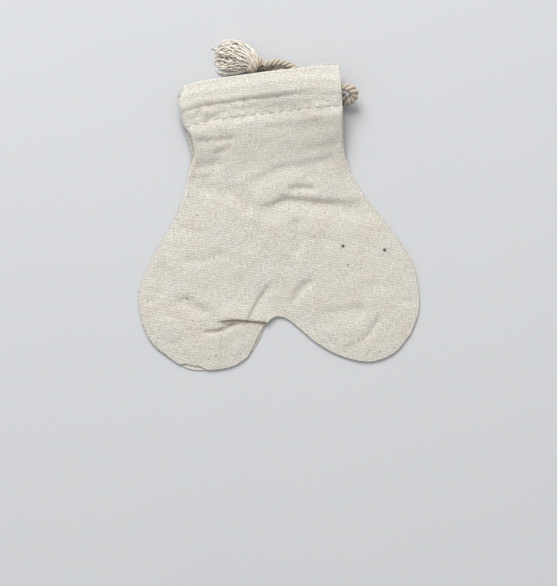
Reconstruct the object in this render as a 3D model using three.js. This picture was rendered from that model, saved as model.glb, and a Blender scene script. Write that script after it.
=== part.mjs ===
// A two-lobed calico drawstring bag for brewing loose tea, lying on its back
// panel with its mouth towards +Y. Millimetres, +Z up. The origin is under the
// middle of the cloth. The bag is empty and its mouth is pressed shut.

import * as THREE from 'three';

// Cloth
const CLOTH = 0.4;           // thickness of the calico
const CLEAR = 0.3;           // room left between neighbouring layers
const MOUTH = 0.5;           // room left between the two hems, where the mouth is
const FOLD = (CLOTH + CLEAR) / 2; // radius of the fold along the mouth

// Drawstring
const CORD = 2.6;            // thickness of the twisted cord
const STRAND_ROOM = CORD + CLEAR; // height that the loose ends lift the hem by

// Hem, as depths below the fold along the mouth
const FRONT_CORD = 6.2;      // where the cord lies in the front hem
const HEM_CREASE = 8.5;      // hollow between the two cords
const BACK_CORD = 10.8;      // where the cord lies in the back hem
const STITCHES = 14.2;       // row of stitches that closes the hem
const HEM_END = 16.2;        // edge that is turned under
const CORD_DRIFT = 1.4;      // how far the cords sink in the hem at its open end
const DRIFT_FROM_X = 8;      // where they start to sink
const OPEN_END_X = 28;
const HEM_SETBACK = 3.1;     // how much shorter the back hem is at its open end
const TURN_ROOM = 4.5;       // room for the cord to turn at the closed end

// Body, as depths below the fold and extra room between the panels there
const FLAT_BACK = 34;        // below this the back panel lies flat
const BELOW_HEM = [18, 2.5];
const NECK = [36, 2.0];
const LOBES = [75, 2.5];

// Grid
const COLUMNS = 20;
const LOBE_ROWS = 15;
const HEM_ROWS = [HEM_END + 0.2, 15.4, STITCHES, 13.2, 12.2, 11.3, 10.3, 9.4, HEM_CREASE, 7.6, 6.7,
  5.7, 4.5, 3.2, 2.0, 1.0, FOLD];
const FOLD_STEPS = 4;
const BAG_LENGTH = 104;      // what v = 0..1 measures from the bottom seam to the mouth, near enough

// ---------------------------------------------------------------------------
// Outline of the cloth, seen from above

const spline = (points) => new THREE.CatmullRomCurve3(
  points.map(([x, y]) => new THREE.Vector3(x, y, 0)), false, 'centripetal');

const LEFT_CORNER = [-40.6, -44.8];
const RIGHT_CORNER = [45.2, -44.2];
const MOUTH_LEFT = [-27.2, 49.3];
const MOUTH_RIGHT = [28.3, 51.7];

const outline = {
  bottom: spline([LEFT_CORNER, [-34.0, -49.5], [-26.8, -50.6], [-18.4, -50.0], [-12.6, -47.0],
    [-8.2, -41.5], [-4.6, -35.6], [-1.6, -33.9], [2.0, -34.8], [6.2, -38.6], [12.0, -44.4],
    [20.0, -49.6], [30.3, -52.6], [39.0, -50.2], RIGHT_CORNER]),
  left: spline([LEFT_CORNER, [-46.0, -39.0], [-48.8, -31.0], [-49.25, -22.6], [-46.2, -14.4],
    [-41.2, -6.3], [-35.6, 1.7], [-31.0, 9.8], [-28.1, 18.0], [-26.4, 26.0], [-27.3, 33.0],
    [-28.6, 38.5], [-29.0, 44.0], MOUTH_LEFT]),
  right: spline([RIGHT_CORNER, [48.7, -36.6], [49.4, -28.0], [48.3, -20.0], [45.3, -13.2],
    [40.3, -5.0], [34.4, 4.0], [29.7, 13.0], [27.5, 21.7], [27.6, 30.0], [28.2, 38.6], MOUTH_RIGHT]),
  top: spline([MOUTH_LEFT, [-20.0, 50.6], [-5.0, 51.4], [9.0, 51.8], [20.0, 52.0], MOUTH_RIGHT]),
};

// A point of the flat pattern: u runs across from left to right, v up to the mouth.
function pattern(u, v) {
  const from = (curve, t) => curve.getPointAt(THREE.MathUtils.clamp(t, 0, 1));
  const { bottom, left, right, top } = outline;
  const across = from(bottom, u).lerp(from(top, u), v);
  const up = from(left, v).lerp(from(right, v), u);
  const flat = from(bottom, 0).lerp(from(bottom, 1), u)
    .lerp(from(top, 0).lerp(from(top, 1), u), v);
  return across.add(up).sub(flat);
}

// ---------------------------------------------------------------------------
// Heights of the layers

const { lerp, smoothstep } = THREE.MathUtils;

// Crests and hollows at given depths, joined smoothly.
function section(stops) {
  return (depth) => {
    const next = stops.findIndex(([at]) => at > depth);
    if (next === 0) return stops[0][1];
    if (next < 0) return stops[stops.length - 1][1];
    const [[from, low], [to, high]] = [stops[next - 1], stops[next]];
    return lerp(low, high, smoothstep(depth, from, to));
  };
}

const STEP = CLOTH + CLEAR;                 // from one layer to the next
const FLOOR = CLOTH / 2;                    // the back panel's own middle
const FLAP_GAP = CLOTH + MOUTH;             // from the back flap to the front flap
const OVER_CORD = CORD + 2 * CLEAR + CLOTH; // from layer to layer round a cord
const SEAM = FLOOR + STEP;                  // the front panel's middle at a seam
const LOW_FLAP = FLOOR + STEP;
const HIGH_FLAP = FLOOR + OVER_CORD;
const CREST = HIGH_FLAP + FLAP_GAP + STEP;
const STITCH_LIFT = 2.4;                    // how far the stitched row stands off the floor
const EDGE_LIFT = 1.2;                      // and the fold along the mouth
const STITCHED = FLOOR + STITCH_LIFT;

const heights = {
  backLeaf: section([[FOLD, FLOOR + EDGE_LIFT], [FRONT_CORD - 0.5, FLOOR], [BACK_CORD + 0.5, FLOOR],
    [STITCHES, STITCHED], [FLAT_BACK, FLOOR]]),
  backFlap: section([[FOLD, LOW_FLAP + EDGE_LIFT], [FRONT_CORD - 0.5, LOW_FLAP],
    [FRONT_CORD + 0.5, LOW_FLAP], [BACK_CORD - 0.5, HIGH_FLAP],
    [BACK_CORD + 0.5, HIGH_FLAP], [STITCHES, STITCHED + STEP]]),
  frontLeaf: section([[FOLD, LOW_FLAP + FLAP_GAP + STEP + EDGE_LIFT], [FRONT_CORD - 0.5, CREST],
    [FRONT_CORD + 0.5, CREST], [HEM_CREASE, CREST - 0.8], [BACK_CORD - 0.5, CREST],
    [BACK_CORD + 0.5, CREST], [STITCHES, STITCHED + 2 * STEP + FLAP_GAP]]),
};
heights.frontFlap = (depth) => heights.backFlap(depth) + FLAP_GAP;

// The loose ends of the drawstring pass under the hem along this line and lift it.
const ENDS_LINE = new THREE.Line3(new THREE.Vector3(27, 40, 0), new THREE.Vector3(10.5, 52.2, 0));
const ENDS_HALF_WIDTH = 4;
const LIFT_REACH = 20;

function lift(x, y) {
  const here = new THREE.Vector3(x, y, 0);
  const away = ENDS_LINE.closestPointToPoint(here, true, new THREE.Vector3()).distanceTo(here);
  return STRAND_ROOM * (1 - smoothstep(away, ENDS_HALF_WIDTH, LIFT_REACH));
}

// Depth in the hem, corrected for the drift of the cords towards the open end.
function hemDepth(x, depth) {
  if (depth >= STITCHES) return depth;
  return depth - CORD_DRIFT * smoothstep(x, DRIFT_FROM_X, OPEN_END_X) * Math.sin(Math.PI * depth / STITCHES);
}

// Fullness of the bag below the hem: none at the seams, most in the lobes.
const puff = section([[STITCHES, FLAP_GAP + STEP], BELOW_HEM, NECK, LOBES]);

function fullness(u, v, depth) {
  const side = 1 - Math.abs(2 * u - 1) ** 4;
  const foot = 1 - (1 - v) ** 6;
  const seamPull = smoothstep(depth, HEM_END + 0.3, HEM_END + 6);
  return puff(depth) * lerp(1, side * foot, seamPull);
}

// ---------------------------------------------------------------------------
// Panels

// One panel is a single sheet: up the outside from the bottom seam to the mouth,
// over the fold, and down the inside to the turned edge of the hem.
function panelRows(kind) {
  const front = kind === 'front';
  const toV = (depth) => 1 - (depth - FOLD) / BAG_LENGTH;
  const lobeV = (i) => toV(HEM_ROWS[0]) * (i / LOBE_ROWS);
  const leaf = [...Array(LOBE_ROWS).keys()].map(lobeV).concat(HEM_ROWS.map(toV));
  const flap = [...HEM_ROWS].reverse().map(toV);
  const width = MOUTH_RIGHT[0] - MOUTH_LEFT[0];

  const onLeaf = (u, v) => {
    const setBack = front ? 0 : HEM_SETBACK / width * smoothstep(v, toV(FLAT_BACK), toV(STITCHES));
    const across = u * (1 - setBack);
    const p = pattern(across, v);
    const depth = outline.top.getPointAt(across).y - p.y + FOLD;
    const at = hemDepth(p.x, depth);
    if (!front) p.z = heights.backLeaf(at);
    else if (depth < STITCHES) p.z = heights.frontLeaf(at);
    else p.z = heights.backLeaf(depth) + STEP + fullness(across, v, depth);
    p.z += lift(p.x, p.y);
    return p;
  };
  const onFlap = (u, v) => {
    const right = front ? 1 : 1 - HEM_SETBACK / width;
    const across = lerp(TURN_ROOM / width, right, u);
    const p = pattern(across, v);
    const depth = outline.top.getPointAt(across).y - p.y + FOLD;
    p.z = heights[front ? 'frontFlap' : 'backFlap'](hemDepth(p.x, depth)) + lift(p.x, p.y);
    return p;
  };
  const onFold = (u, step) => {
    const turn = Math.PI * step / FOLD_STEPS;
    const p = onLeaf(u, 1).lerp(onFlap(u, 1), (1 - Math.cos(turn)) / 2);
    p.y += FOLD * Math.sin(turn);
    return p;
  };

  const foldSteps = [...Array(FOLD_STEPS - 1).keys()].map((i) => i + 1);
  return [
    ...leaf.map((v) => (u) => onLeaf(u, v)),
    ...foldSteps.map((step) => (u) => onFold(u, step)),
    ...flap.map((v) => (u) => onFlap(u, v)),
  ];
}

// A closed solid of even thickness round a grid of points.
function thicken(rows, columns, thickness) {
  const grid = rows.map((row) => [...Array(columns + 1).keys()].map((j) => row(j / columns)));
  const { clamp } = THREE.MathUtils;
  const at = (i, j) => grid[clamp(i, 0, grid.length - 1)][clamp(j, 0, columns)];
  const positions = [];
  for (const side of [1, -1]) {
    grid.forEach((row, i) => row.forEach((p, j) => {
      const right = at(i, j + 1).clone().sub(at(i, j - 1));
      const up = at(i + 1, j).clone().sub(at(i - 1, j));
      const normal = right.cross(up).normalize();
      positions.push(...p.clone().addScaledVector(normal, side * thickness / 2).toArray());
    }));
  }
  const wide = columns + 1;
  const half = grid.length * wide;
  const index = [];
  const quad = (a, b, c, d) => index.push(a, b, c, a, c, d);
  for (let i = 0; i + 1 < grid.length; i += 1) {
    for (let j = 0; j < columns; j += 1) {
      const [a, b, c, d] = [i * wide + j, i * wide + j + 1, (i + 1) * wide + j + 1, (i + 1) * wide + j];
      quad(a, b, c, d);
      quad(half + a, half + d, half + c, half + b);
    }
  }
  for (let i = 0; i + 1 < grid.length; i += 1) {
    const [l, m] = [i * wide, (i + 1) * wide];
    quad(l, m, half + m, half + l);
    quad(l + columns, half + l + columns, half + m + columns, m + columns);
  }
  const last = (grid.length - 1) * wide;
  for (let j = 0; j < columns; j += 1) {
    quad(j, half + j, half + j + 1, j + 1);
    quad(last + j, last + j + 1, half + last + j + 1, half + last + j);
  }
  const geometry = new THREE.BufferGeometry();
  geometry.setAttribute('position', new THREE.Float32BufferAttribute(positions, 3));
  geometry.setIndex(index);
  geometry.computeVertexNormals();
  return geometry;
}

// ---------------------------------------------------------------------------
// Drawstring, knot and tassel

// From the knot behind the hem to the ring at the open end, through the front hem,
// round the closed end, back through the back hem, and behind the hem to the knot.
const ROUTE = [
  [1.9, 53.3, 1.4], [4.5, 53.2, 1.35], [7.2, 52.6, 1.35], [10.0, 50.8, 1.35], [15.5, 46.7, 1.35],
  [21.0, 42.7, 1.35], [25.6, 39.8, 1.4], [28.4, 39.1, 2.0], [30.5, 39.4, 3.0], [32.1, 40.4, 4.2],
  [32.7, 41.9, 5.3], [31.9, 43.3, 6.1], [30.2, 44.2, 6.5], [28.0, 44.4, 6.5], [14.0, 45.9, 6.5],
  [9.0, 46.0, 6.4], [2.0, 45.8, 5.4], [-5.0, 45.5, 3.85], [-18.0, 45.0, 3.6], [-24.6, 44.5, 3.5],
  [-26.2, 43.8, 3.2], [-26.8, 42.3, 2.8], [-26.2, 40.8, 2.4], [-24.6, 40.1, 2.1], [-10.0, 40.7, 2.0],
  [-5.0, 40.9, 2.05], [2.0, 41.2, 2.9], [9.0, 41.4, 4.05], [20.0, 40.9, 4.9], [26.0, 40.6, 4.9],
  [27.7, 40.9, 4.4], [28.3, 41.4, 3.15], [27.7, 42.0, 2.0], [26.0, 43.0, 1.45], [17.5, 48.9, 1.4],
  [11.8, 53.2, 1.4], [8.8, 54.8, 2.25], [6.0, 55.3, 3.1], [3.9, 55.2, 3.6], [1.9, 54.9, 3.7],
];
const CORD_SIDES = 8;
const CORD_STEPS = 80;

function drawstringGeometry() {
  const round = new THREE.Shape();
  for (let i = 0; i < CORD_SIDES; i += 1) {
    const angle = (i + 0.5) / CORD_SIDES * 2 * Math.PI;
    const corner = [CORD / 2 * Math.cos(angle), CORD / 2 * Math.sin(angle)];
    if (i === 0) round.moveTo(...corner);
    else round.lineTo(...corner);
  }
  round.closePath();
  const path = new THREE.CatmullRomCurve3(ROUTE.map((p) => new THREE.Vector3(...p)), false, 'centripetal');
  return new THREE.ExtrudeGeometry(round, { steps: CORD_STEPS, extrudePath: path });
}

const KNOT = { centre: [-0.9, 54.95, 2.6], radii: [2.55, 2.75, 2.5] };

// The frayed ends fan out from the knot and curl back on themselves.
const TASSEL_HEIGHT = 4.4;
const TASSEL_ROUNDING = 1.3;
const TASSEL = [[-5.2, 55.0], [-5.6, 53.6], [-9.0, 53.4], [-12.5, 53.6], [-15.2, 56.4], [-15.9, 60.3],
  [-13.6, 62.9], [-9.5, 63.9], [-5.2, 63.0], [-2.6, 61.2], [-2.4, 59.4], [-4.6, 58.4]];

function tasselGeometry() {
  const [first, ...rest] = TASSEL;
  const fan = new THREE.Shape().moveTo(...first)
    .splineThru([...rest, first].map(([x, y]) => new THREE.Vector2(x, y)));
  const solid = new THREE.ExtrudeGeometry(fan, {
    depth: TASSEL_HEIGHT - 2 * TASSEL_ROUNDING, curveSegments: 2,
    bevelThickness: TASSEL_ROUNDING, bevelSize: TASSEL_ROUNDING, bevelSegments: 3,
  });
  return solid.translate(0, 0, TASSEL_ROUNDING);
}

// ---------------------------------------------------------------------------
// The bag

const cotton = (color, roughness) => new THREE.MeshStandardMaterial({ color, roughness, metalness: 0 });
const calico = cotton(0xd8d3c2, 0.95);
const twine = cotton(0xc2b7a4, 0.9);

const model = new THREE.Group();
function add(name, geometry, material) {
  const mesh = new THREE.Mesh(geometry, material);
  mesh.name = name;
  model.add(mesh);
  return mesh;
}

add('front_panel', thicken(panelRows('front'), COLUMNS, CLOTH), calico);
add('back_panel', thicken(panelRows('back'), COLUMNS, CLOTH), calico);
add('drawstring', drawstringGeometry(), twine);
const knot = add('knot', new THREE.SphereGeometry(1, 16, 10), twine);
knot.position.set(...KNOT.centre);
knot.scale.set(...KNOT.radii);
add('tassel', tasselGeometry(), twine);

export default model;
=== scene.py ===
# %% [markdown]
# # A calico tea bag on a drawstring
#
# The bag is two lobed pieces of unbleached cotton, sewn together round the edge and hemmed at the mouth.
# One twisted cord runs through both hems. Its ends come out at the right, pass behind the hem and share
# one knot, and past the knot they are combed out into a tassel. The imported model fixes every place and
# size, and this script builds what is seen round it: the creased cloth, the plied cord, the wraps of the
# knot and the yarns.

import math

import bpy
import numpy as np
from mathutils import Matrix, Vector
from mathutils.kdtree import KDTree


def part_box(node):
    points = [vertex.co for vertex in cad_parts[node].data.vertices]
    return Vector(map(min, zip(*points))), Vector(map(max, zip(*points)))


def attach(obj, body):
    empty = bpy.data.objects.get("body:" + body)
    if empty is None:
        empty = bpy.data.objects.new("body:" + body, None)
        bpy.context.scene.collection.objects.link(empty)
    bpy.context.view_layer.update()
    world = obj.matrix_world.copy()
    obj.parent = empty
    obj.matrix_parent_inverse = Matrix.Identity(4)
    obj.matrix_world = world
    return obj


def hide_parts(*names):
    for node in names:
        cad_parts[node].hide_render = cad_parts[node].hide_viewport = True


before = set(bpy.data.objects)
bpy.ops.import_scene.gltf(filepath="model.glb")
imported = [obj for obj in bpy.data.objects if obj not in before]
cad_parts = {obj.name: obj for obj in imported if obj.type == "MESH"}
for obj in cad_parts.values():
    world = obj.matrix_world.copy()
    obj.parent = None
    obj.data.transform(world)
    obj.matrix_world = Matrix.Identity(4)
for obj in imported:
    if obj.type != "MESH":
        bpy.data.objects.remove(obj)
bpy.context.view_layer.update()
MM = 0.001

# %% [markdown]
# ## Camera
# The bag lies flat and is looked at from straight above, so the camera hangs over it and looks down. It
# is far away and has a long lens, because a near camera would show the sides of the hem. It is turned by
# a few degrees so that the bag leans a little, and it looks at a point below the middle of the cloth, so
# that the table goes on below the lobes.

# %% Camera
VIEW_HEIGHT = 0.2069
CAMERA_HEIGHT = 1.2
BAG_LEAN = math.radians(5)
LOOKS_AT = (0.0001, -0.0257)

camera = bpy.data.objects.new("camera", bpy.data.cameras.new("camera"))
bpy.context.scene.collection.objects.link(camera)
camera.location = (*LOOKS_AT, CAMERA_HEIGHT)
camera.rotation_euler = (0, 0, -BAG_LEAN)
camera.data.lens = camera.data.sensor_width * CAMERA_HEIGHT / VIEW_HEIGHT
bpy.context.scene.camera = camera
print("lens, mm:", round(camera.data.lens, 1))

# %% [markdown]
# ## Curves
# Everything here starts from a few given points and a smooth curve through them. The curve is the
# centripetal Catmull-Rom spline, which goes through every point, never loops between two of them, and
# is the one that the imported model uses. Work is done in millimetres, which suit an object of this size.

# %% Smooth curves and places on them
def spline(points, steps=24):
    p = np.array(points, float)
    p = np.vstack([2 * p[0] - p[1], p, 2 * p[-1] - p[-2]])
    pieces = []
    for a, b, c, d in zip(p, p[1:], p[2:], p[3:]):
        t1 = np.linalg.norm(b - a) ** 0.5
        t2 = t1 + np.linalg.norm(c - b) ** 0.5
        t3 = t2 + np.linalg.norm(d - c) ** 0.5
        t = np.linspace(t1, t2, steps, endpoint=False)[:, None]
        ab = (t1 - t) / t1 * a + t / t1 * b
        bc = (t2 - t) / (t2 - t1) * b + (t - t1) / (t2 - t1) * c
        cd = (t3 - t) / (t3 - t2) * c + (t - t2) / (t3 - t2) * d
        abc = (t2 - t) / t2 * ab + t / t2 * bc
        bcd = (t3 - t) / (t3 - t1) * bc + (t - t1) / (t3 - t1) * cd
        pieces.append((t2 - t) / (t2 - t1) * abc + (t - t1) / (t2 - t1) * bcd)
    return np.vstack(pieces + [p[-2:-1]])


def distances(line):
    steps = np.linalg.norm(np.diff(line, axis=0), axis=1)
    return np.concatenate([[0], np.cumsum(steps)])


def along(line, shares):
    """Points at these shares, 0 to 1, of the line's length."""
    measured = distances(line)
    wanted = np.asarray(shares) * measured[-1]
    return np.stack([np.interp(wanted, measured, axis) for axis in line.T], axis=-1)


def share_of(line, point):
    """How far along the line its nearest point to this one is, 0 to 1."""
    measured = distances(line)
    away = np.linalg.norm(line - np.array(point, float), axis=1)
    return measured[np.argmin(away)] / measured[-1]


def stretch(line, start, end, spacing):
    """The part of a line between two shares, with points about this far apart."""
    length = distances(line)[-1] * abs(end - start)
    return along(line, np.linspace(start, end, max(2, round(length / spacing) + 1)))


# %% [markdown]
# ## Meshes
# Cord, yarn, thread and stitch are all round and long, so one function sweeps a ring along a path. The
# ring has to be carried without spinning, or the twist of a cord would show kinks. So each ring's side
# direction is the last one with its part along the new direction taken out. A ring may be ribbed, which
# makes the yarns of a ply.

# %% Rings carried along a path
def carried_frames(path):
    forward = np.gradient(path, axis=0)
    forward /= np.linalg.norm(forward, axis=1)[:, None]
    side = np.zeros_like(path)
    first = np.cross(forward[0], [0, 0, 1])
    if np.linalg.norm(first) < 0.1:
        first = np.cross(forward[0], [0, 1, 0])
    for i, direction in enumerate(forward):
        start = first if i == 0 else side[i - 1]
        flat = start - direction * (start @ direction)
        side[i] = flat / np.linalg.norm(flat)
    return forward, side, np.cross(forward, side)


# %% A piece while it is being built
class Mesh:
    """Points and faces, their coordinates on the cloth or yarn, and the painted shade and dirt of each
    place.
    """

    def __init__(self):
        self.points, self.faces, self.marks, self.shades_and_soil = [], [], [], []
        self.size = 0

    def add(self, points, faces, marks, shade_and_soil=None):
        self.points.append(points)
        self.faces.extend([tuple(i + self.size for i in face) for face in faces])
        self.marks.append(marks)
        self.shades_and_soil.append(np.zeros(len(points)) if shade_and_soil is None else np.asarray(shade_and_soil).ravel())
        self.size += len(points)

    def tube(self, path, radius, sides=10, ribs=0, rib_depth=0.1, rib_turns=0.0, swing=0.0):
        """A closed tube. Radius is one number or one for each point of the path."""
        path = np.asarray(path, float)
        count = len(path)
        radii = np.broadcast_to(radius, count)[:, None]
        _, side, up = carried_frames(path)
        angle = np.linspace(0, 2 * math.pi, sides, endpoint=False)[None, :]
        along_path = distances(path)[:, None]
        groove = 1 - np.abs(np.sin(ribs / 2 * (angle - rib_turns * along_path)))
        groove = groove if ribs else np.zeros_like(groove)
        ring = radii * (1 - rib_depth * groove)
        points = (path[:, None] + (ring * np.cos(angle))[..., None] * side[:, None]
                  + (ring * np.sin(angle))[..., None] * up[:, None]).reshape(-1, 3)
        faces = [(i * sides + j, i * sides + (j + 1) % sides,
                  (i + 1) * sides + (j + 1) % sides, (i + 1) * sides + j)
                 for i in range(count - 1) for j in range(sides)]
        faces.append(tuple(reversed(range(sides))))
        faces.append(tuple((count - 1) * sides + j for j in range(sides)))
        around = np.broadcast_to(angle / (2 * math.pi), (count, sides))
        marks = np.stack([around + swing, np.broadcast_to(along_path, (count, sides))], -1)
        # Each rib's groove also goes along as painted shade.
        self.add(points, faces, marks.reshape(-1, 2), groove)

    def piece(self, name):
        """Makes the object, in metres, with its coordinates as the UV map called marks."""
        points = np.vstack(self.points) * MM
        mesh = bpy.data.meshes.new(name)
        mesh.from_pydata(points.tolist(), [], self.faces)
        marks = np.vstack(self.marks)
        corner = np.empty(len(mesh.loops), np.int32)
        mesh.loops.foreach_get("vertex_index", corner)
        layer = mesh.uv_layers.new(name="marks")
        layer.data.foreach_set("uv", marks[corner].astype(np.float32).ravel())
        # Painted shade, with the dirt of the creases, goes to the shaders as a point attribute.
        shade_and_soil = mesh.attributes.new("shade_and_soil", "FLOAT", "POINT")
        shade_and_soil.data.foreach_set("value", np.concatenate(self.shades_and_soil).astype(np.float32))
        mesh.shade_smooth()
        made = bpy.data.objects.new(name, mesh)
        bpy.context.scene.collection.objects.link(made)
        print(name, "has", len(points), "points and", len(self.faces), "faces")
        return made


# %% [markdown]
# ## Drawstring
# The cord is one length of three-ply cotton. It was cut long, threaded through one hem, round the closed
# end and back through the other hem. Each ply is itself spun from yarns, and the plies are laid up the
# opposite way, so that neither comes undone. A curve with a bevel would give a smooth pipe, so the plies
# are modelled as three ribbed tubes that turn round the cord's own line. The line is the route of the
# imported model, but its bend at the open end, behind the hem, is slightly wider, so that the plies don't
# run into each other there.

# %% Route of the cord, mm
CORD = 2.6
ROUTE = [
    (1.9, 53.3, 1.4), (4.5, 53.2, 1.35), (7.2, 52.6, 1.35), (10.0, 50.8, 1.35), (15.5, 46.7, 1.35),
    (21.0, 42.7, 1.35), (25.6, 39.8, 1.4), (28.4, 39.1, 2.0), (30.5, 39.4, 3.0), (32.1, 40.4, 4.2),
    (32.7, 41.9, 5.3), (31.9, 43.3, 6.1), (30.2, 44.2, 6.5), (28.0, 44.4, 6.5), (14.0, 45.9, 6.5),
    (9.0, 46.0, 6.4), (2.0, 45.8, 5.4), (-5.0, 45.5, 3.85), (-18.0, 45.0, 3.6), (-24.6, 44.5, 3.5),
    (-26.2, 43.8, 3.2), (-26.8, 42.3, 2.8), (-26.2, 40.8, 2.4), (-24.6, 40.1, 2.1), (-10.0, 40.7, 2.0),
    (-5.0, 40.9, 2.05), (2.0, 41.2, 2.9), (9.0, 41.4, 4.05), (20.0, 40.9, 4.9), (26.0, 40.6, 4.9),
    (28.2, 40.9, 4.4), (28.9, 41.4, 3.1), (28.2, 42.0, 2.0), (26.0, 43.1, 1.45), (17.5, 48.9, 1.4),
    (11.8, 53.2, 1.4), (8.8, 54.8, 2.25), (6.0, 55.3, 3.1), (3.9, 55.2, 3.6), (1.9, 54.9, 3.7),
]
FRONT_EXIT, BACK_EXIT = ROUTE[13], ROUTE[29]     # where the cord leaves each hem
route = spline(ROUTE)
front_exit = share_of(route, FRONT_EXIT)
back_exit = share_of(route, BACK_EXIT)
print("cord, mm: whole", round(distances(route)[-1], 1),
      "free ends", round(distances(route)[-1] * front_exit, 1),
      round(distances(route)[-1] * (1 - back_exit), 1))

# %% Three plies laid up round the line
PLIES = 3
LAY = 5.4            # length in which a ply goes once round
PLY = 0.60           # radius of a ply
PLY_YARNS = 7
YARN_GROOVE = 0.16
YARN_TWIST = 0.9
YARN_SHADE = 0.55    # grooves between the yarns of a ply get less painted shade than those between plies


def lay_up(mesh, path, thickness, lay=LAY, phase=0.0, sides=21):
    """Lays the plies round a path. The places between them are marked for painted shade."""
    _, side, up = carried_frames(path)
    outer = np.broadcast_to(thickness, len(path)) / 2
    ply = PLY * 2 * outer / CORD
    offset = (outer - ply)[:, None]
    turned = phase - 2 * math.pi * distances(path) / lay
    for number in range(PLIES):
        angle = (turned + 2 * math.pi * number / PLIES)[:, None]
        strand = path + offset * (np.cos(angle) * side + np.sin(angle) * up)
        mesh.tube(strand, ply, sides, ribs=PLY_YARNS, rib_depth=YARN_GROOVE, rib_turns=YARN_TWIST,
                  swing=number * 0.37)
        from_line = np.linalg.norm(mesh.points[-1].reshape(len(path), sides, 3) - path[:, None], axis=2)
        between = np.clip(2.5 * (1 - from_line / outer[:, None]) - 0.3, 0, 1)
        mesh.shades_and_soil[-1] = np.maximum(YARN_SHADE * mesh.shades_and_soil[-1], between.ravel())


STEP = 0.24
RING_X = 32.0
RING_REACH = 2.2
RING_SWELL = 0.9     # the turn outside the hem is unlaid a little by its bend, so it is thicker
front_end_path = stretch(route, front_exit, 0, STEP)
back_end_path = stretch(route, back_exit, 1, STEP)
hem_path = stretch(route, front_exit, back_exit, STEP * 2)

cord_parts = (("cord_end_front", front_end_path, 21), ("cord_end_back", back_end_path, 21),
              ("cord_in_hem", hem_path, 11))
cords = {}
for name, path, sides in cord_parts:
    mesh = Mesh()
    loosened = CORD + RING_SWELL * np.exp(-((path[:, 0] - RING_X) / RING_REACH) ** 2)
    lay_up(mesh, path, thickness=loosened, sides=sides)
    cords[name] = mesh.piece(name)
    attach(cords[name], "root")
    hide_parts("drawstring")

# %% [markdown]
# ## Knot
# Both ends are tied together in one overhand knot. From outside it is two round turns of cord that lie
# aslant over the strands inside. A true knotted path would mostly be hidden, so a coil of the same cord
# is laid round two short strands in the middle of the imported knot, and its turns lean the way that the
# real ones do.

# %% Slanting turns of the knot
knot_low, knot_high = (np.array(corner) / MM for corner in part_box("knot"))
knot_middle = (knot_low + knot_high) / 2
KNOT_TURNS = 2.1
KNOT_CORD = 2.35
KNOT_LAY = 4.6
KNOT_START = -1.55
KNOT_PITCH = 1.3     # how far a turn moves on along the strands
KNOT_SLANT = 0.85
KNOT_UP = 0.15
HALF_TURN_WIDTH, HALF_TURN_HEIGHT = 1.85, 1.35
STRAND = 1.9
STRANDS = ((-0.85, -0.6), (0.45, 0.75))


def knot_turns():
    turn = np.linspace(0, KNOT_TURNS, 150)
    angle = 2 * math.pi * (turn - 0.42)
    swell = 1 - 0.12 * np.abs(turn / KNOT_TURNS * 2 - 1)
    return np.stack([
        knot_middle[0] + KNOT_START + KNOT_PITCH * turn + KNOT_SLANT * np.sin(angle),
        knot_middle[1] + KNOT_UP + HALF_TURN_WIDTH * swell * np.sin(angle),
        knot_middle[2] + HALF_TURN_HEIGHT * swell * np.cos(angle),
    ], -1)


def knot_core(y, z):
    """A strand that goes straight through the knot."""
    reach = np.linspace(-2.2, 2.9, 24)[:, None]
    middle = knot_middle + np.array([0, y, z])
    return middle + reach * np.array([1, -0.03 * y, 0.02 * z])


knot_mesh = Mesh()
lay_up(knot_mesh, knot_turns(), thickness=KNOT_CORD, lay=KNOT_LAY, phase=0.6)
for y, z in STRANDS:
    lay_up(knot_mesh, knot_core(y, z), thickness=STRAND, sides=11)
knot = knot_mesh.piece("knot_turns")
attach(knot, "root")
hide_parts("knot")

# %% [markdown]
# ## Tassel
# Past the knot the plies are opened and combed into their yarns. The yarns keep some of the bend that the
# twist gave them, so they fan out to the left and curl: the upper ones rise over the knot and come down
# again, and the lower ones hang and turn back up. A hair system would need its own shading and would not
# reach the exported mesh, so every yarn is a thin swept tube. A few guides are given, and each yarn is a
# mix of two neighbouring guides with a small wander of its own. The random numbers are seeded, so it is
# the same each run.

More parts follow.
